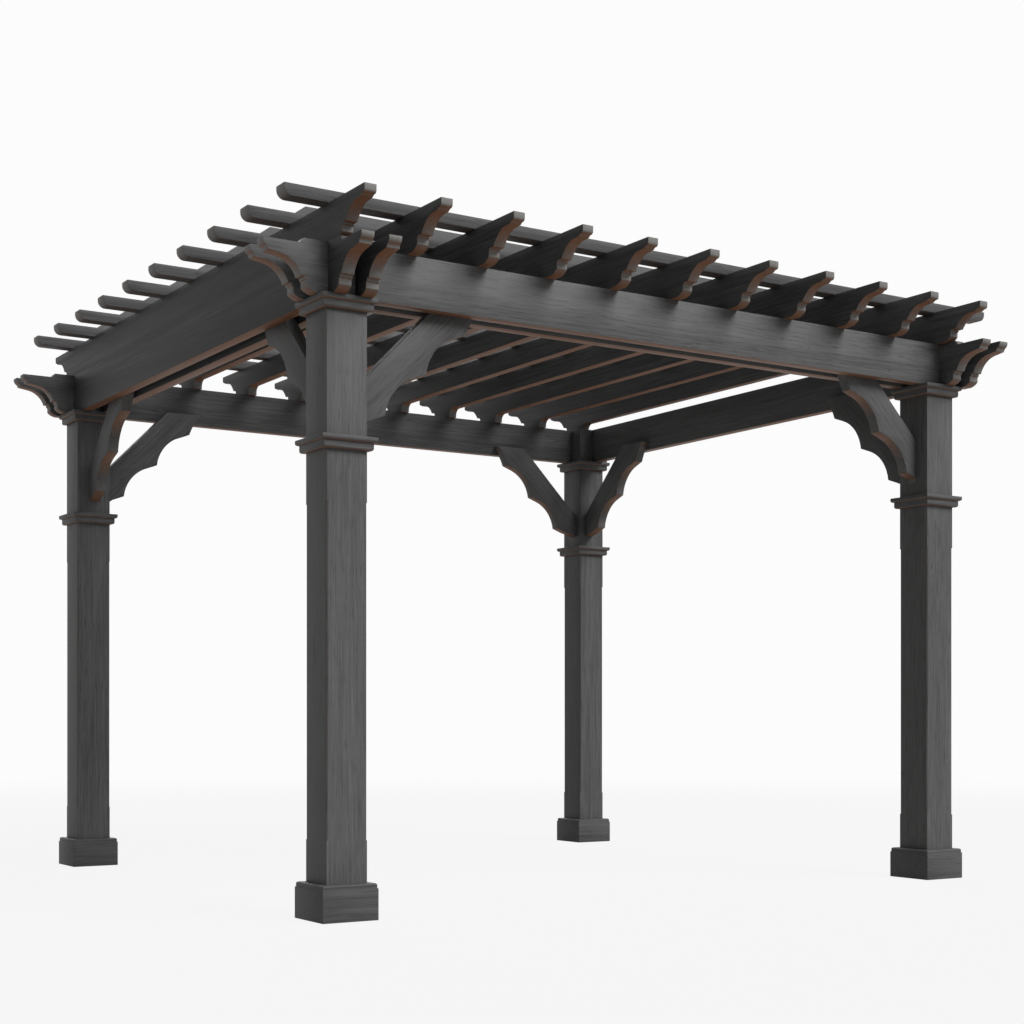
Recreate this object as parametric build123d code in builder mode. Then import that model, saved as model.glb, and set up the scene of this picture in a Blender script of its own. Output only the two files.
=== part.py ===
from build123d import *
import os

# Posts: size of the square, and the spans over their outer faces
post_size = 150.0
span_x = 2922.0
span_y = 2590.0
shaft_chamfer = 5.5
plinth_length = 141.0
neck_length = 214.0

# Trim round the foot of each post
trim_reach = 28.0
trim_height = 105.0
cap_inset = 3.0
cap_height = 17.0
cap_round = 7.0

# Two-step collars: one part way up the post, one under the beams
lower_collar_drop = 457.0
collar_board_reach = 27.7
collar_board_height = 18.0
collar_step_reach = 17.0
collar_step_height = 26.0
collar_round = 8.0

# Paired beams, set back from each post's near face and crossing at one height
beam_underside = 2044.0
beam_thickness = 47.0
beam_depth = 172.0
near_setback = 10.0
far_setback = 81.0
pair_spacing = 100.0
tail_drop = 17.0
drop_start = 76.0
drop_end = 91.0
stub_overrun = 15.0

# Rafters across the beams, seated on them and relieved in between
rafter_count = 11
first_rafter_over = 32.0
last_rafter_over = 5.0
rafter_thickness = 44.0
rafter_depth = 133.0
rafter_relief = 41.0
relief_round = 30.0
seat_overrun = 12.0

# Shaped ends of beams and rafters: reach beyond the posts' outer faces, and rise from the lower edge
tail_reach = 221.0
flare_reach = 29.0
flare_rise = 18.0
block_reach = 66.0
block_rise = 33.0
bead_reach = 72.0
bead_rise = 40.0
beam_nose = 18.0
beam_lip = (203.0, 118.0)
beam_shelf = (158.0, 111.0)
beam_cove = (106.0, 85.0)
beam_step = (84.0, 49.0)
rafter_nose = 29.0
rafter_lip = (197.0, 98.0)
rafter_shelf = (152.0, 94.0)
rafter_cove = (115.0, 71.0)
rafter_step = (94.0, 45.0)

# Purlins over the rafters, thinned towards their ends except for the first and the last
purlin_count = 10
purlin_thickness = 62.0
purlin_height = 70.0
purlin_tail_height = 41.0
purlin_setback = 23.6
purlin_overrun = 41.0
purlin_left_reach = 140.0
purlin_right_reach = 221.0
purlin_round = 29.0
shoulder_start = 37.0
shoulder_end = 77.0

# Scalloped knee braces, lapped on the beams
brace_thickness = 47.0
brace_rise = 272.0
brace_lap = 40.0
scallop_count = 2
first_cusp = (420.0, 55.0)
scallop_pitch = (160.0, 155.0)
scallop_land = (54.0, 20.0)
scallop_hollow = 24.0
brace_foot = 402.0
brace_end_bow = 5.0
brace_shifts = {
    "front_at_left": 0.0,
    "front_at_right": -42.0,
    "back_at_left": -20.0,
    "back_at_right": 25.0,
    "left_at_front": 0.0,
    "left_at_back": -25.0,
    "right_at_front": 0.0,
    "right_at_back": 15.0,
}

# Heights that follow from these
shaft_low = trim_height + cap_height + plinth_length
lower_collar_top = beam_underside - lower_collar_drop
shaft_high = lower_collar_top - neck_length
rafter_underside = beam_underside + beam_depth
purlin_underside = rafter_underside + rafter_depth
tail_top = beam_depth - tail_drop

sides_x = {"left": -1, "right": 1}
sides_y = {"front": -1, "back": 1}


# Low faces of the posts along one axis: near post first
def post_lows(span):
    return (-span / 2, span / 2 - post_size)


# Low faces of the four beam boards that share one direction, near pair first
def board_lows(span):
    near, far = post_lows(span)
    return (
        (near + near_setback, near + near_setback + pair_spacing),
        (far + far_setback, far + far_setback + pair_spacing),
    )


# Vertical plane for a board that runs along x or y, at its far face for x and its near face for y
def board_plane(runs, low, thickness):
    if runs == "x":
        return Plane.XZ.offset(-(low + thickness))
    return Plane.YZ.offset(low)


# Closed side view of a board with the same shaped end left and right, from its middle
def shaped_side(face, underside, depth, top, nose, lip, shelf, cove, step):
    def at(reach, rise):
        return (face + reach, underside + rise)

    with BuildSketch() as side:
        with BuildLine():
            if top < depth:
                Polyline((0, underside + depth), at(drop_start, depth), at(drop_end, top), at(tail_reach, top))
            else:
                Line((0, underside + depth), at(tail_reach, top))
            Line(at(tail_reach, top), at(tail_reach, top - nose))
            SagittaArc(at(tail_reach, top - nose), at(*lip), -4)
            Line(at(*lip), at(*shelf))
            ThreePointArc(at(*shelf), at(*cove), at(*step))
            Polyline(at(*step), at(bead_reach, step[1]), at(bead_reach, bead_rise))
            SagittaArc(at(bead_reach, bead_rise), at(block_reach, block_rise), -2)
            Line(at(block_reach, block_rise), at(block_reach, flare_rise))
            SagittaArc(at(block_reach, flare_rise), at(flare_reach, 0), 4)
            Line(at(flare_reach, 0), (0, underside))
            mirror(about=Plane.YZ)
        make_face()
    return side.sketch


# Side view of a knee brace that springs from a post face and runs towards positive or negative
def brace_side(face, direction, shift):
    def at(reach, drop):
        return (face + direction * reach, beam_underside - drop)

    cusps = [
        (first_cusp[0] + shift - k * scallop_pitch[0], first_cusp[1] + k * scallop_pitch[1])
        for k in range(scallop_count + 1)
    ]
    lands = [(reach - scallop_land[0], drop + scallop_land[1]) for reach, drop in cusps]
    end_reach = cusps[0][0] + cusps[0][1]
    rise = brace_rise + shift
    with BuildSketch() as side:
        with BuildLine():
            Polyline(at(0, brace_foot), at(0, rise), at(rise + brace_lap, -brace_lap))
            Line(at(rise + brace_lap, -brace_lap), at(end_reach, -brace_lap))
            SagittaArc(at(end_reach, -brace_lap), at(*cusps[0]), -brace_end_bow * direction)
            for cusp, land, following in zip(cusps, lands, cusps[1:]):
                Line(at(*cusp), at(*land))
                SagittaArc(at(*land), at(*following), -scallop_hollow * direction)
            Line(at(*cusps[-1]), at(*lands[-1]))
            Line(at(*lands[-1]), at(0, brace_foot))
        make_face()
    return side.sketch


# Square ring that fits round a post
def ring(reach):
    with BuildSketch() as outline:
        Rectangle(post_size + 2 * reach, post_size + 2 * reach)
        Rectangle(post_size, post_size, mode=Mode.SUBTRACT)
    return outline.sketch


os.makedirs("parts", exist_ok=True)


def save(piece, label):
    piece.part.label = label
    export_step(piece.part, "parts/" + label + ".step")


# Posts with a stopped chamfer on the shaft and a head core that fills the space between the beams
lows_x = post_lows(span_x)
lows_y = post_lows(span_y)
boards_x = board_lows(span_y)
boards_y = board_lows(span_x)

for name_y, side_y in sides_y.items():
    for name_x, side_x in sides_x.items():
        corner = name_y + "_" + name_x
        low_x = lows_x[0] if side_x < 0 else lows_x[1]
        low_y = lows_y[0] if side_y < 0 else lows_y[1]
        centre_x = low_x + post_size / 2
        centre_y = low_y + post_size / 2
        pair_x = boards_y[0] if side_x < 0 else boards_y[1]
        pair_y = boards_x[0] if side_y < 0 else boards_x[1]

        # The core runs between the boards of a near pair, and from the post's face to a far pair
        core_low_x = pair_x[0] + beam_thickness if side_x < 0 else low_x
        core_high_x = pair_x[1] if side_x < 0 else pair_x[0]
        core_low_y = pair_y[0] + beam_thickness if side_y < 0 else low_y
        core_high_y = pair_y[1] if side_y < 0 else pair_y[0]

        with BuildPart() as post:
            with BuildSketch(Plane.XY):
                with Locations((centre_x, centre_y)):
                    Rectangle(post_size, post_size)
            extrude(amount=shaft_low)
            with BuildSketch(Plane.XY.offset(shaft_low)) as shaft:
                with Locations((centre_x, centre_y)):
                    Rectangle(post_size, post_size)
                chamfer(shaft.vertices(), length=shaft_chamfer)
            extrude(amount=shaft_high - shaft_low)
            with BuildSketch(Plane.XY.offset(shaft_high)):
                with Locations((centre_x, centre_y)):
                    Rectangle(post_size, post_size)
            extrude(amount=beam_underside - shaft_high)
            with BuildSketch(Plane.XY.offset(beam_underside)):
                with Locations(((core_low_x + core_high_x) / 2, (core_low_y + core_high_y) / 2)):
                    Rectangle(core_high_x - core_low_x, core_high_y - core_low_y)
            extrude(amount=beam_depth)
        save(post, "post_" + corner)

        # Base trim: a boxed foot with a rounded cap
        with BuildPart() as trim:
            with BuildSketch(Plane.XY):
                with Locations((centre_x, centre_y)):
                    add(ring(trim_reach))
            extrude(amount=trim_height)
            with BuildSketch(Plane.XY.offset(trim_height)):
                with Locations((centre_x, centre_y)):
                    add(ring(trim_reach - cap_inset))
            extrude(amount=cap_height)
            cap_top = trim.faces().sort_by(Axis.Z)[-1]
            fillet(cap_top.outer_wire().edges(), radius=cap_round)
        save(trim, "base_trim_" + corner)

        # Two collars, each a wide board over a narrower one, with rounded lower edges
        with BuildPart() as collars:
            for top in (lower_collar_top, beam_underside):
                board_low = top - collar_board_height
                step_low = board_low - collar_step_height
                with BuildSketch(Plane.XY.offset(step_low)):
                    with Locations((centre_x, centre_y)):
                        add(ring(collar_step_reach))
                extrude(amount=collar_step_height)
                with BuildSketch(Plane.XY.offset(board_low)):
                    with Locations((centre_x, centre_y)):
                        add(ring(collar_board_reach))
                extrude(amount=collar_board_height)
                lower_faces = collars.faces().filter_by(Plane.XY)
                for height in (step_low, board_low):
                    under = lower_faces.filter_by_position(Axis.Z, height - 0.1, height + 0.1)
                    fillet(under.sort_by(SortBy.AREA)[-1].outer_wire().edges(), radius=collar_round)
        save(collars, "collars_" + corner)

# Beams: two boards to a pair, halved into each other where they cross.
# The outer board of a far pair is two stubs, one at each end, that carry only the shaped tails.
beam_pairs = {
    "beam_front": ("x", boards_x[0], False),
    "beam_back": ("x", boards_x[1], True),
    "beam_left": ("y", boards_y[0], False),
    "beam_right": ("y", boards_y[1], True),
}
for label, (runs, lows, is_far) in beam_pairs.items():
    half_span = span_x / 2 if runs == "x" else span_y / 2
    crossings = boards_y if runs == "x" else boards_x
    notch_low = beam_underside + beam_depth / 2 if runs == "x" else beam_underside
    outline = shaped_side(
        half_span, beam_underside, beam_depth, tail_top, beam_nose, beam_lip, beam_shelf, beam_cove, beam_step
    )
    with BuildPart() as beam:
        for low in lows:
            with BuildSketch(board_plane(runs, low, beam_thickness)):
                add(outline)
            extrude(amount=beam_thickness)
            across = low + beam_thickness / 2
            for pair in crossings:
                for crossing in pair:
                    along = crossing + beam_thickness / 2
                    place = (along, across) if runs == "x" else (across, along)
                    with Locations((*place, notch_low + beam_depth / 4)):
                        Box(beam_thickness, beam_thickness, beam_depth / 2, mode=Mode.SUBTRACT)
        if is_far:
            gap_low = crossings[0][1] + beam_thickness + stub_overrun
            gap_high = crossings[1][0] - stub_overrun
            outer = lows[1] + beam_thickness / 2
            middle = (gap_low + gap_high) / 2
            length = gap_high - gap_low
            place = (middle, outer) if runs == "x" else (outer, middle)
            size = (length, beam_thickness) if runs == "x" else (beam_thickness, length)
            with Locations((*place, beam_underside + beam_depth / 2)):
                Box(*size, beam_depth, mode=Mode.SUBTRACT)
    save(beam, label)

# Knee braces: one each way from every post
for name_y, side_y in sides_y.items():
    for name_x, side_x in sides_x.items():
        for runs in ("x", "y"):
            side_along, side_across = (side_x, side_y) if runs == "x" else (side_y, side_x)
            span_along = span_x if runs == "x" else span_y
            pair = (boards_x if runs == "x" else boards_y)[0 if side_across < 0 else 1]
            low = pair[0] + beam_thickness if side_across < 0 else pair[0] - brace_thickness
            face = side_along * (span_along / 2 - post_size)
            place = name_y + "_at_" + name_x if runs == "x" else name_x + "_at_" + name_y
            with BuildPart() as brace:
                with BuildSketch(board_plane(runs, low, brace_thickness)):
                    add(brace_side(face, -side_along, brace_shifts[place]))
                extrude(amount=brace_thickness)
            save(brace, "brace_" + place)

# Rafters, evenly spaced from over the first left board to over the first right board
first_rafter = boards_y[0][0] + first_rafter_over
last_rafter = boards_y[1][0] + last_rafter_over
rafter_spacing = (last_rafter - first_rafter) / (rafter_count - 1)
relief_low = boards_x[0][1] + beam_thickness + seat_overrun
relief_high = boards_x[1][0] - seat_overrun
with BuildSketch() as relief:
    with Locations(((relief_low + relief_high) / 2, rafter_underside + rafter_relief / 2)):
        Rectangle(relief_high - relief_low, rafter_relief)
    fillet(relief.vertices().group_by(Axis.Y)[-1], radius=relief_round)
rafter_outline = shaped_side(
    span_y / 2,
    rafter_underside,
    rafter_depth,
    rafter_depth,
    rafter_nose,
    rafter_lip,
    rafter_shelf,
    rafter_cove,
    rafter_step,
)
for k in range(rafter_count):
    centre = first_rafter + k * rafter_spacing
    with BuildPart() as rafter:
        with BuildSketch(board_plane("y", centre - rafter_thickness / 2, rafter_thickness)):
            add(rafter_outline)
            add(relief.sketch, mode=Mode.SUBTRACT)
        extrude(amount=rafter_thickness)
    save(rafter, "rafter_" + str(k + 1).zfill(2))

# Purlins, with rounded lower corners and stepped ends
purlin_left = -span_x / 2 - purlin_left_reach
purlin_right = span_x / 2 + purlin_right_reach
thin_top = purlin_underside + purlin_tail_height
first_purlin = -span_y / 2 + purlin_setback
last_purlin = span_y / 2 + purlin_overrun - purlin_thickness
purlin_spacing = (last_purlin - first_purlin) / (purlin_count - 1)
for k in range(purlin_count):
    low = first_purlin + k * purlin_spacing
    with BuildPart() as purlin:
        with BuildSketch(board_plane("x", low, purlin_thickness)) as side:
            with BuildLine():
                bottom_left = (purlin_left, purlin_underside)
                bottom_right = (purlin_right, purlin_underside)
                top_right = (purlin_right, thin_top)
                top_left = (purlin_left, thin_top)
                if 0 < k < purlin_count - 1:
                    Polyline(
                        top_left,
                        (-span_x / 2 + shoulder_start, thin_top),
                        (-span_x / 2 + shoulder_end, purlin_underside + purlin_height),
                        (span_x / 2 - shoulder_end, purlin_underside + purlin_height),
                        (span_x / 2 - shoulder_start, thin_top),
                        top_right,
                    )
                else:
                    Line(top_left, top_right)
                Polyline(top_right, bottom_right, bottom_left, top_left)
            make_face()
            fillet(side.vertices().group_by(Axis.Y)[0], radius=purlin_round)
        extrude(amount=purlin_thickness)
    save(purlin, "purlin_" + str(k + 1).zfill(2))
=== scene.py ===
import math
import random
import bmesh
import bpy
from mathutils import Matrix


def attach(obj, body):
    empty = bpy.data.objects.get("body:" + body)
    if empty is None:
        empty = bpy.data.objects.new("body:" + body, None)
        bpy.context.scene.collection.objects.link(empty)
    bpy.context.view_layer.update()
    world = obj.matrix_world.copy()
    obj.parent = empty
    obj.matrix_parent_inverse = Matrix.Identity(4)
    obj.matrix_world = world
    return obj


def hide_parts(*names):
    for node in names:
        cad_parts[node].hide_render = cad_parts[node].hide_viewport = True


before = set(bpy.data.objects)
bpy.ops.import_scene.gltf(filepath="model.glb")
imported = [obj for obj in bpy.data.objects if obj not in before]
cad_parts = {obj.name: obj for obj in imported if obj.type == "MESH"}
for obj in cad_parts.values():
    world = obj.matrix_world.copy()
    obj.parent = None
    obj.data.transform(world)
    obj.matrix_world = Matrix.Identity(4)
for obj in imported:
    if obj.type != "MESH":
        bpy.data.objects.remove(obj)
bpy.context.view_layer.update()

print("frame loaded:", len(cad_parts), "timbers")


# Shader helpers

class Tree:
    # A thin wrapper round a node tree: add a node, set its values, wire it up
    def __init__(self, nodeTree):
        self.nodeTree = nodeTree

    def add(self, kind, values=None, **settings):
        node = self.nodeTree.nodes.new(kind)
        for key, value in settings.items():
            setattr(node, key, value)
        for key, value in (values or {}).items():
            if isinstance(value, bpy.types.NodeSocket):
                self.link(value, node.inputs[key])
            else:
                node.inputs[key].default_value = value
        return node

    def link(self, source, target):
        self.nodeTree.links.new(source, target)

    def math(self, operation, a, b=0.0):
        return self.add("ShaderNodeMath", {0: a, 1: b}, operation=operation).outputs[0]

    def plus(self, a, b):
        return self.add("ShaderNodeVectorMath", {0: a, 1: b}, operation="ADD").outputs[0]

    def scaled(self, vector, factor):
        return self.add("ShaderNodeVectorMath", {0: vector, 3: factor}, operation="SCALE").outputs[0]

    def mix(self, factor, a, b):
        return self.add("ShaderNodeMix", {0: factor, 6: a, 7: b}, data_type="RGBA").outputs[2]

    # Takes a value from one range to another and holds it there
    def spread(self, value, source, target=(0.0, 1.0)):
        ends = {0: value, 1: source[0], 2: source[1], 3: target[0], 4: target[1]}
        return self.add("ShaderNodeMapRange", ends, clamp=True).outputs[0]


def newGroup(name, inputs, outputs):
    group = bpy.data.node_groups.new(name, "ShaderNodeTree")
    for label, kind, value in inputs:
        socket = group.interface.new_socket(label, in_out="INPUT", socket_type=kind)
        if value is not None:
            socket.default_value = value
    for label in outputs:
        group.interface.new_socket(label, in_out="OUTPUT", socket_type="NodeSocketFloat")
    tree = Tree(group)
    tree.inside = tree.add("NodeGroupInput")
    tree.outside = tree.add("NodeGroupOutput")
    return group, tree


# An empty tree for a material or the world
def freshTree(owner):
    owner.use_nodes = True
    owner.node_tree.nodes.clear()
    return Tree(owner.node_tree)


# Grain that runs along local X: broad figure, fine streaks, pores, short dark checks, small knots.
# A scale is cells to the metre along and across the grain, and a spot's size is in cells.
grainLook = {
    "seedShift": (37.0, 1.0, 3.1),
    "figure": {"scale": (0.8, 7.0, 7.0), "detail": 3.0, "roughness": 0.55, "distortion": 0.6},
    "streak": {"scale": (3.2, 120.0, 120.0), "detail": 4.0, "roughness": 0.65, "distortion": 0.2},
    "pore": {"scale": (14.0, 380.0, 380.0), "detail": 2.0, "roughness": 0.5, "distortion": 0.0},
    "knot": {"scale": (1.6, 7.0, 7.0), "share": 0.86, "size": (0.03, 0.12)},
    "knotPull": 0.02,
    "pullReach": 0.5,
    "check": {"scale": (7.0, 34.0, 34.0), "share": 0.86, "size": (0.05, 0.12)},
    "wander": 0.02,
    "wanderScale": 14.0,
    "wanderDetail": 2.0,
    "streakHeight": 0.6,
    "poreHeight": 0.4,
    "knotDepth": 0.3,
    "checkDepth": 0.6,
}


def stretchedNoise(tree, vector, look):
    space = tree.add("ShaderNodeMapping", {"Vector": vector, "Scale": look["scale"]}).outputs[0]
    values = {
        "Vector": space,
        "Scale": 1.0,
        "Detail": look["detail"],
        "Roughness": look["roughness"],
        "Distortion": look["distortion"],
    }
    return tree.add("ShaderNodeTexNoise", values).outputs[0]


# Spots in a few of the cells: their mask, the distance to a cell's point, and which cells have one
def sparseSpots(tree, vector, look):
    space = tree.add("ShaderNodeMapping", {"Vector": vector, "Scale": look["scale"]}).outputs[0]
    cells = tree.add("ShaderNodeTexVoronoi", {"Vector": space, "Scale": 1.0, "Randomness": 1.0})
    away = cells.outputs["Distance"]
    drawn = tree.add("ShaderNodeSeparateColor", {0: cells.outputs["Color"]}).outputs[0]
    chosen = tree.math("GREATER_THAN", drawn, look["share"])
    spots = tree.math("MULTIPLY", tree.spread(away, look["size"], (1.0, 0.0)), chosen)
    return spots, away, chosen


def buildGrainGroup():
    group, tree = newGroup(
        "timberGrain",
        [("Vector", "NodeSocketVector", None), ("Seed", "NodeSocketFloat", 0.0)],
        ["Figure", "Streak", "Pore", "Check", "Knot", "Height"],
    )
    shift = tree.scaled(grainLook["seedShift"], tree.inside.outputs["Seed"])
    place = tree.plus(tree.inside.outputs["Vector"], shift)

    # Knots: small dark ovals that pull the grain round themselves
    knot, away, chosen = sparseSpots(tree, place, grainLook["knot"])
    pull = tree.spread(away, (0.0, grainLook["pullReach"]), (1.0, 0.0))
    pull = tree.math("MULTIPLY", tree.math("MULTIPLY", pull, chosen), grainLook["knotPull"])
    bent = tree.plus(place, tree.add("ShaderNodeCombineXYZ", {1: pull, 2: pull}).outputs[0])

    # Checks: short hairline splits that wander a little off the straight streaks
    values = {"Vector": bent, "Scale": grainLook["wanderScale"], "Detail": grainLook["wanderDetail"]}
    wander = tree.add("ShaderNodeTexNoise", values).outputs["Color"]
    wavy = tree.plus(bent, tree.scaled(wander, grainLook["wander"]))
    check = sparseSpots(tree, wavy, grainLook["check"])[0]

    figure = stretchedNoise(tree, bent, grainLook["figure"])
    streak = stretchedNoise(tree, bent, grainLook["streak"])
    pore = stretchedNoise(tree, bent, grainLook["pore"])
    height = tree.math(
        "ADD",
        tree.math("MULTIPLY", streak, grainLook["streakHeight"]),
        tree.math("MULTIPLY", pore, grainLook["poreHeight"]),
    )
    sunk = tree.math(
        "ADD",
        tree.math("MULTIPLY", knot, grainLook["knotDepth"]),
        tree.math("MULTIPLY", check, grainLook["checkDepth"]),
    )
    results = {
        "Figure": figure,
        "Streak": streak,
        "Pore": pore,
        "Check": check,
        "Knot": knot,
        "Height": tree.math("SUBTRACT", height, sunk),
    }
    for label, value in results.items():
        tree.link(value, tree.outside.inputs[label])
    return group


# One charcoal stain for the whole frame. Faces that look down get a painted warm bounce light, and
# eased arrises show the brown wood.
stain = {
    "dark": (0.022, 0.0222, 0.0226, 1.0),
    "light": (0.116, 0.1165, 0.118, 1.0),
    "figureShare": 0.30,
    "streakShare": 0.70,
    "grainRange": (0.33, 0.67),
    "boardSpread": 0.12,
    "levelRange": (-0.4, 1.4),
    # painted warm bounce light that tints faces looking down
    "paintedBounceColour": (0.215, 0.090, 0.040, 1.0),
    "underRange": (-0.45, -0.98),
    "patchRange": (0.30, 0.62),
    "patchShare": (0.72, 1.0),
    "edge": (0.075, 0.052, 0.040, 1.0),
    "wear": 0.5,
    "rubScale": 5.0,
    "rubDetail": 4.0,
    "rubRoughness": 0.6,
    "rubRange": (0.38, 0.62),
    # painted highlight on the end faces, lighter than the stain
    "paintedEndHighlight": (0.190, 0.182, 0.174, 1.0),
    "endHighlightRange": (0.30, 0.95),
    "endHighlightShare": 0.75,
    "marks": (0.024, 0.0235, 0.023, 1.0),
    "poreRange": (0.32, 0.44),
    "poreShare": 0.60,
    "checkShare": 0.85,
    "knotShare": 0.6,
    "roughRange": (0.3, 0.7),
    "roughness": (0.50, 0.66),
    "gloss": 0.22,
    "bump": 0.35,
    "bumpDepth": 0.0012,
}


# Painted warm bounce light on faces that look down, and thin stain rubbed along the arrises
def buildWearAndBounceGroup():
    group, tree = newGroup(
        "wearAndPaintedBounce",
        [
            ("Streak", "NodeSocketFloat", 0.5),
            ("Arris", "NodeSocketFloat", 0.0),
            ("Wear", "NodeSocketFloat", 0.5),
        ],
        ["Under", "Edge"],
    )
    # Painted warm bounce light: strongest on faces that look straight down, patchy along the streaks
    facing = tree.add("ShaderNodeNewGeometry").outputs["Normal"]
    upward = tree.add("ShaderNodeSeparateXYZ", {0: facing}).outputs[2]
    under = tree.spread(upward, stain["underRange"])
    patchy = tree.spread(tree.inside.outputs["Streak"], stain["patchRange"], stain["patchShare"])
    tree.link(tree.math("MULTIPLY", under, patchy), tree.outside.inputs["Under"])
    values = {
        "Vector": tree.add("ShaderNodeTexCoord").outputs["Object"],
        "Scale": stain["rubScale"],
        "Detail": stain["rubDetail"],
        "Roughness": stain["rubRoughness"],
    }
    rubbed = tree.spread(tree.add("ShaderNodeTexNoise", values).outputs[0], stain["rubRange"])
    worn = tree.math("MULTIPLY", rubbed, tree.inside.outputs["Wear"])
    edge = tree.math("MULTIPLY", tree.inside.outputs["Arris"], worn)
    tree.link(edge, tree.outside.inputs["Edge"])
    return group


grainGroup = buildGrainGroup()
wearAndBounceGroup = buildWearAndBounceGroup()

# Which way the grain runs: turns that bring the member's length onto X
turns = {
    "alongX": (0.0, 0.0, 0.0),
    "alongY": (0.0, 0.0, -math.pi / 2),
    "upright": (0.0, math.pi / 2, 0.0),
    "risingX": (0.0, math.pi / 4, 0.0),
    "fallingX": (0.0, -math.pi / 4, 0.0),
    "risingY": (-math.pi / 4, 0.0, -math.pi / 2),
    "fallingY": (math.pi / 4, 0.0, -math.pi / 2),
}


def faceValue(tree, label):
    return tree.add("ShaderNodeAttribute", attribute_name=label).outputs["Fac"]


def stainedTimber(name, turn):
    material = bpy.data.materials.new(name)
    tree = freshTree(material)
    place = tree.add("ShaderNodeTexCoord").outputs["Object"]
    along = tree.add("ShaderNodeMapping", {"Vector": place, "Rotation": turn}).outputs[0]
    seed = faceValue(tree, "seed")
    grain = tree.add("ShaderNodeGroup", {"Vector": along, "Seed": seed}, node_tree=grainGroup).outputs
    wearAndBounce = tree.add(
        "ShaderNodeGroup",
        {"Streak": grain["Streak"], "Arris": faceValue(tree, "arris"), "Wear": stain["wear"]},
        node_tree=wearAndBounceGroup,
    ).outputs

    # Fine streaks over a faint figure; each board keeps its own random level, shifted by a painted
    # light level that darkens or lightens it for the light it gets
    level = tree.math(
        "ADD",
        tree.math("MULTIPLY", grain["Figure"], stain["figureShare"]),
        tree.math("MULTIPLY", grain["Streak"], stain["streakShare"]),
    )
    level = tree.spread(level, stain["grainRange"])
    board = tree.math("SUBTRACT", tree.math("FRACT", seed), 0.5)
    board = tree.math("MULTIPLY", board, stain["boardSpread"])
    # Painted light level: each board darkened as painted shade or lightened as painted light for the
    # light it gets
    level = tree.math("ADD", level, tree.math("ADD", board, faceValue(tree, "paintedLightLevel")))
    colour = tree.mix(tree.spread(level, stain["levelRange"]), stain["dark"], stain["light"])

    # Painted highlight on the end faces, square to the member's length
    facing = tree.add("ShaderNodeNewGeometry").outputs["Normal"]
    turned = tree.add("ShaderNodeMapping", {"Vector": facing, "Rotation": turn}, vector_type="VECTOR")
    lengthwise = tree.add("ShaderNodeSeparateXYZ", {0: turned.outputs[0]}).outputs[0]
    ends = tree.spread(tree.math("ABSOLUTE", lengthwise), stain["endHighlightRange"])
    endHighlightShare = tree.math("MULTIPLY", faceValue(tree, "endHighlightOn"), stain["endHighlightShare"])
    colour = tree.mix(tree.math("MULTIPLY", ends, endHighlightShare), colour, stain["paintedEndHighlight"])

    # Painted warm bounce light on faces that look down and worn arrises, then the marks over all of it
    under = tree.math("MULTIPLY", wearAndBounce["Under"], faceValue(tree, "under"))
    colour = tree.mix(under, colour, stain["paintedBounceColour"])
    colour = tree.mix(wearAndBounce["Edge"], colour, stain["edge"])
    marks = tree.spread(grain["Pore"], stain["poreRange"], (stain["poreShare"], 0.0))
    marks = tree.math("MAXIMUM", marks, tree.math("MULTIPLY", grain["Check"], stain["checkShare"]))
    marks = tree.math("MAXIMUM", marks, tree.math("MULTIPLY", grain["Knot"], stain["knotShare"]))
    colour = tree.mix(marks, colour, stain["marks"])

    bump = tree.add(
        "ShaderNodeBump",
        {"Strength": stain["bump"], "Distance": stain["bumpDepth"], "Height": grain["Height"]},
    )
    values = {
        "Base Color": colour,
        "Roughness": tree.spread(grain["Streak"], stain["roughRange"], stain["roughness"]),
        "Normal": bump.outputs[0],
        "Specular IOR Level": stain["gloss"],
    }
    surface = tree.add("ShaderNodeBsdfPrincipled", values)
    tree.add("ShaderNodeOutputMaterial", {0: surface.outputs[0]})
    return material


timber = {way: stainedTimber("stainedTimber_" + way, turn) for way, turn in turns.items()}
print("stain mixed for", len(timber), "grain directions")


# Kinds of timber: how far the arrises are eased, how strongly the undersides get painted warm bounce
# light, the painted light level that darkens or lightens the kind (the rafters darkened as painted
# shade under the roof), and whether its end faces get a painted highlight
kinds = {
    "post": {"ease": 0.0022, "under": 0.6, "paintedLightLevel": 0.0, "endHighlightOn": 1.0},
    "base": {"ease": 0.0016, "under": 0.6, "paintedLightLevel": -0.15, "endHighlightOn": 0.0},
    "collars": {"ease": 0.0014, "under": 0.6, "paintedLightLevel": 0.0, "endHighlightOn": 0.0},
    "beam": {"ease": 0.0020, "under": 0.85, "paintedLightLevel": 0.0, "endHighlightOn": 1.0},
    "brace": {"ease": 0.0020, "under": 0.8, "paintedLightLevel": 0.0, "endHighlightOn": 1.0},
    "rafter": {"ease": 0.0018, "under": 0.9, "paintedLightLevel": -0.46, "endHighlightOn": 1.0},
    "purlin": {"ease": 0.0018, "under": 0.15, "paintedLightLevel": -0.05, "endHighlightOn": 1.0},
}

# Single timbers painted lighter or darker than their kind for the light they get: the left beam
# darkened as painted shadow from the roof, the front beam lightened against the shadow of the tails
boardPaintedLight = {
    "beam_front": 0.36,
    "beam_left": -0.9,
    "beam_right": -0.20,
    "post_front_right": 0.18,
    "post_back_left": 0.22,
}

# The copies of the CAD solids: welding, merging of facets, and what counts as a corner
copying = {
    "weld": 0.00002,
    "flat": math.radians(0.5),
    "sharp": math.radians(25),
    "easeSegments": 2,
    "squareTo": 0.999,
    "seedSpan": 9.0,
}
draw = random.Random(11)


def kindOf(node):
    return node.split("_")[0]


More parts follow.
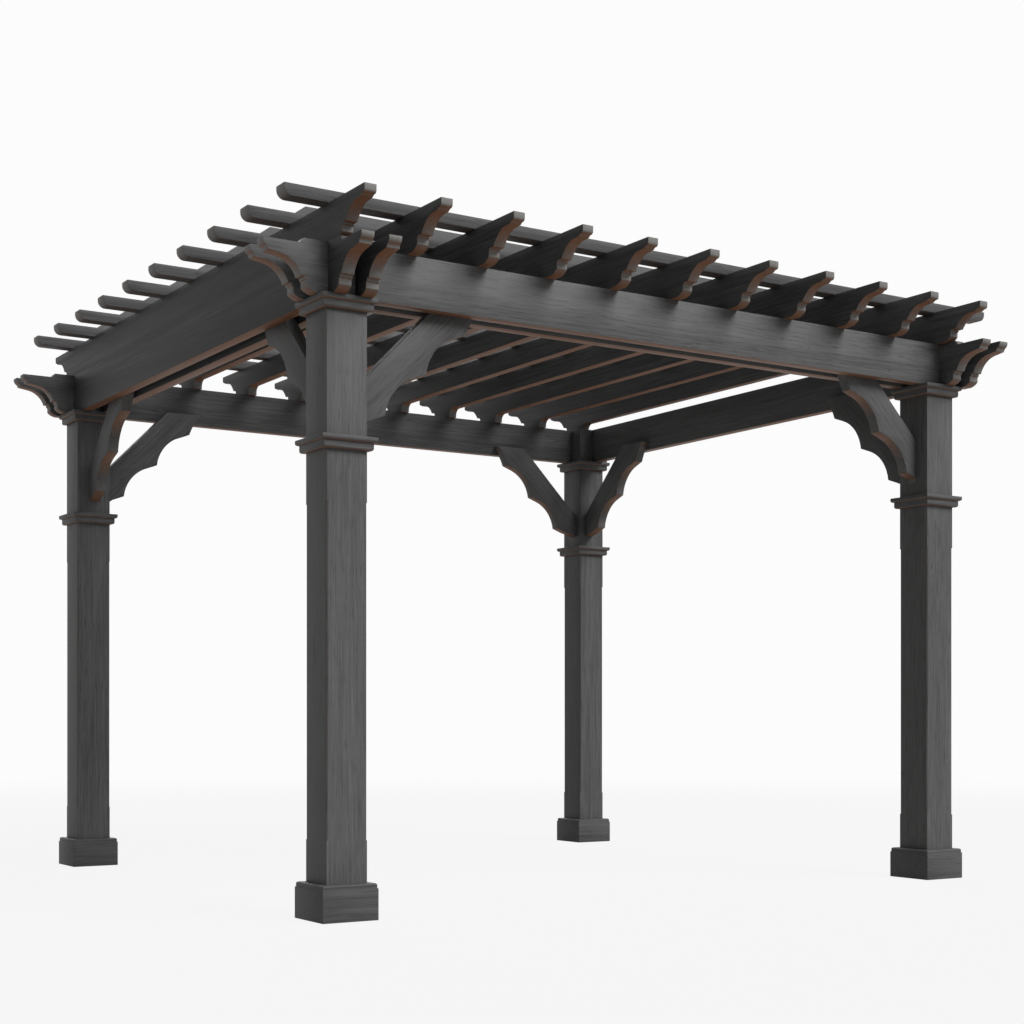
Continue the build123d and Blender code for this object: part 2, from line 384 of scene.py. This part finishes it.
def grainWay(node):
    kind = kindOf(node)
    if kind == "beam":
        return "alongX" if node in ("beam_front", "beam_back") else "alongY"
    if kind == "brace":
        wall, end = node.split("_")[1], node.split("_")[3]
        axis = "X" if wall in ("front", "back") else "Y"
        return ("rising" if end in ("left", "front") else "falling") + axis
    return {"post": "upright", "rafter": "alongY"}.get(kind, "alongX")


def bevelEdges(shape, edges, offset, segments):
    return bmesh.ops.bevel(
        shape,
        geom=edges,
        offset=offset,
        segments=segments,
        profile=0.5,
        affect="EDGES",
        material=-1,
        clamp_overlap=True,
    )


def isCorner(edge):
    return edge.is_manifold and edge.calc_face_angle(0.0) > copying["sharp"]


# Shaped tails: the lower corner of each nose is rounded over
nose = {"round": 0.011, "segments": 5, "clear": 0.0135, "slack": 0.001}


def middleOf(edge):
    return (edge.verts[0].co + edge.verts[1].co) / 2


# An edge straight across the timber, near the lower corner of a nose
def isFacet(edge, tips, axis):
    run = edge.verts[0].co - edge.verts[1].co
    across = abs(run[axis]) < nose["slack"] and abs(run.z) < nose["slack"]
    near = any((middleOf(edge) - middleOf(tip)).length < nose["clear"] for tip in tips)
    return across and near and edge not in tips


def roundNoses(shape, way):
    axis = 0 if way == "alongX" else 1
    shape.normal_update()
    reach = max(abs(vert.co[axis]) for vert in shape.verts)
    tips = []
    for face in shape.faces:
        outermost = abs(face.calc_center_median()[axis]) > reach - nose["slack"]
        if outermost and abs(face.normal[axis]) > copying["squareTo"]:
            tips.append(min(face.edges, key=lambda edge: middleOf(edge).z))
    # The first facets of the curve behind a nose are merged, so that the round has room
    facets = [edge for edge in shape.edges if isFacet(edge, tips, axis)]
    bmesh.ops.dissolve_edges(shape, edges=facets, use_verts=True)
    bevelEdges(shape, tips, nose["round"], nose["segments"])


# The rafter over the left beam shows no relief in the photograph, so its side is drawn again without it
relief = {"node": "rafter_01", "depth": 0.045, "halfLength": 1.25}


def withoutRelief(shape):
    leftFaces = [face for face in shape.faces if face.normal.x < -copying["squareTo"]]
    side = max(leftFaces, key=lambda face: face.calc_area())
    low = min(vert.co.z for vert in side.verts)
    thickness = max(vert.co.x for vert in shape.verts) - side.verts[0].co.x
    outline = [
        vert.co.copy()
        for vert in side.verts
        if abs(vert.co.y) >= relief["halfLength"] or vert.co.z >= low + relief["depth"]
    ]
    whole = bmesh.new()
    face = whole.faces.new([whole.verts.new(place) for place in outline])
    sides = bmesh.ops.extrude_face_region(whole, geom=[face])
    moved = [item for item in sides["geom"] if isinstance(item, bmesh.types.BMVert)]
    bmesh.ops.translate(whole, verts=moved, vec=(thickness, 0.0, 0.0))
    bmesh.ops.recalc_face_normals(whole, faces=whole.faces)
    shape.free()
    return whole


# A timber is a copy of its CAD solid with merged facets, eased arrises and values for the stain, the
# painted bounce, the painted light level and the painted end highlight
def easedCopy(node):
    kind = kinds[kindOf(node)]
    shape = bmesh.new()
    shape.from_mesh(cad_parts[node].data)
    bmesh.ops.remove_doubles(shape, verts=shape.verts, dist=copying["weld"])
    bmesh.ops.dissolve_limit(shape, angle_limit=copying["flat"], verts=shape.verts, edges=shape.edges)
    if node == relief["node"]:
        shape = withoutRelief(shape)
    layers = {
        label: shape.faces.layers.float.new(label)
        for label in ("arris", "seed", "under", "paintedLightLevel", "endHighlightOn")
    }
    if kindOf(node) in ("beam", "rafter"):
        roundNoses(shape, grainWay(node))
    corners = [edge for edge in shape.edges if isCorner(edge)]
    eased = bevelEdges(shape, corners, kind["ease"], copying["easeSegments"])
    for face in eased["faces"]:
        face[layers["arris"]] = 1.0
    seed = draw.random() * copying["seedSpan"]
    for face in shape.faces:
        face[layers["seed"]] = seed
        # Per face: strength of the painted bounce, painted light level, and whether the end faces get
        # the painted highlight
        face[layers["under"]] = kind["under"]
        face[layers["paintedLightLevel"]] = boardPaintedLight.get(node, kind["paintedLightLevel"])
        face[layers["endHighlightOn"]] = kind["endHighlightOn"]
        face.smooth = True
    for edge in shape.edges:
        edge.smooth = not isCorner(edge)
    mesh = bpy.data.meshes.new(node + "_eased")
    shape.to_mesh(mesh)
    shape.free()
    piece = bpy.data.objects.new(node + "_eased", mesh)
    bpy.context.scene.collection.objects.link(piece)
    return piece


for node in sorted(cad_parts):
    piece = easedCopy(node)
    piece.data.materials.append(timber[grainWay(node)])
    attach(piece, "root")
    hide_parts(node)
print("timbers eased and stained")


# Floor, backdrop and light. Seen straight or in a reflection, the floor is the photograph's pale
# ground with a trace of real shadow, and it fades into the backdrop.
studio = {
    "floorSize": 60.0,
    "floorColour": (0.36, 0.352, 0.34, 1.0),
    "floorShown": 0.95,
    "shadowShare": 0.06,
    "fadeFrom": 5.0,
    "fadeTo": 13.0,
    "backdrop": 0.975,
    "white": (1.0, 1.0, 1.0, 1.0),
    "fillColour": (1.0, 0.98, 0.95, 1.0),
    "fill": 0.27,
    "keyStrength": 3.8,
    "keyTurn": (math.radians(46), 0.0, math.radians(28)),
    "keySpread": math.radians(34),
    "backStrength": 1.5,
    "backTurn": (math.radians(52), 0.0, math.radians(158)),
    "backSpread": math.radians(40),
}


def seenRays(tree):
    path = tree.add("ShaderNodeLightPath")
    return tree.math("MAXIMUM", path.outputs["Is Camera Ray"], path.outputs["Is Glossy Ray"])


def buildFloor():
    shape = bmesh.new()
    bmesh.ops.create_grid(shape, x_segments=1, y_segments=1, size=studio["floorSize"])
    mesh = bpy.data.meshes.new("floor")
    shape.to_mesh(mesh)
    shape.free()
    floor = bpy.data.objects.new("floor", mesh)
    bpy.context.scene.collection.objects.link(floor)
    material = bpy.data.materials.new("paleFloor")
    tree = freshTree(material)
    pale = tree.add("ShaderNodeBsdfDiffuse", {"Color": studio["floorColour"]}).outputs[0]
    shown = tree.add("ShaderNodeEmission", {"Strength": studio["floorShown"]}).outputs[0]
    white = tree.add("ShaderNodeEmission", {"Strength": studio["backdrop"]}).outputs[0]
    shaded = tree.add("ShaderNodeMixShader", {0: studio["shadowShare"], 1: shown, 2: pale}).outputs[0]
    place = tree.add("ShaderNodeTexCoord").outputs["Object"]
    away = tree.add("ShaderNodeVectorMath", {0: place}, operation="LENGTH").outputs["Value"]
    fade = tree.add(
        "ShaderNodeMapRange",
        {0: away, 1: studio["fadeFrom"], 2: studio["fadeTo"], 3: 0.0, 4: 1.0},
        interpolation_type="SMOOTHSTEP",
    ).outputs[0]
    faded = tree.add("ShaderNodeMixShader", {0: fade, 1: shaded, 2: white}).outputs[0]
    both = tree.add("ShaderNodeMixShader", {0: seenRays(tree), 1: pale, 2: faded}).outputs[0]
    tree.add("ShaderNodeOutputMaterial", {0: both})
    mesh.materials.append(material)


def buildWorld():
    world = bpy.data.worlds.new("studio")
    bpy.context.scene.world = world
    tree = freshTree(world)
    fill = {"Color": studio["fillColour"], "Strength": studio["fill"]}
    fill = tree.add("ShaderNodeBackground", fill).outputs[0]
    backdrop = {"Color": studio["white"], "Strength": studio["backdrop"]}
    backdrop = tree.add("ShaderNodeBackground", backdrop).outputs[0]
    both = tree.add("ShaderNodeMixShader", {0: seenRays(tree), 1: fill, 2: backdrop}).outputs[0]
    tree.add("ShaderNodeOutputWorld", {0: both})


def buildLamp(name):
    lamp = bpy.data.lights.new(name, "SUN")
    lamp.energy = studio[name + "Strength"]
    lamp.angle = studio[name + "Spread"]
    light = bpy.data.objects.new(name, lamp)
    light.rotation_euler = studio[name + "Turn"]
    bpy.context.scene.collection.objects.link(light)


buildFloor()
buildWorld()
buildLamp("key")
buildLamp("back")
print("studio lit")

# Camera: level, with a vertical shift that looks up past the near post
lens = {
    "place": (-3.945, -6.145, 0.665),
    "heading": 0.5572,
    "focal": 58.80,
    "sensor": 36.0,
    "shift": (0.0438, 0.2012),
}
cameraData = bpy.data.cameras.new("camera")
cameraData.sensor_fit = "HORIZONTAL"
cameraData.sensor_width = lens["sensor"]
cameraData.lens = lens["focal"]
cameraData.shift_x, cameraData.shift_y = lens["shift"]
camera = bpy.data.objects.new("camera", cameraData)
camera.location = lens["place"]
camera.rotation_euler = (math.pi / 2, 0.0, -lens["heading"])
bpy.context.scene.collection.objects.link(camera)
bpy.context.scene.camera = camera
bpy.context.scene.view_settings.view_transform = "Standard"
print("camera set")
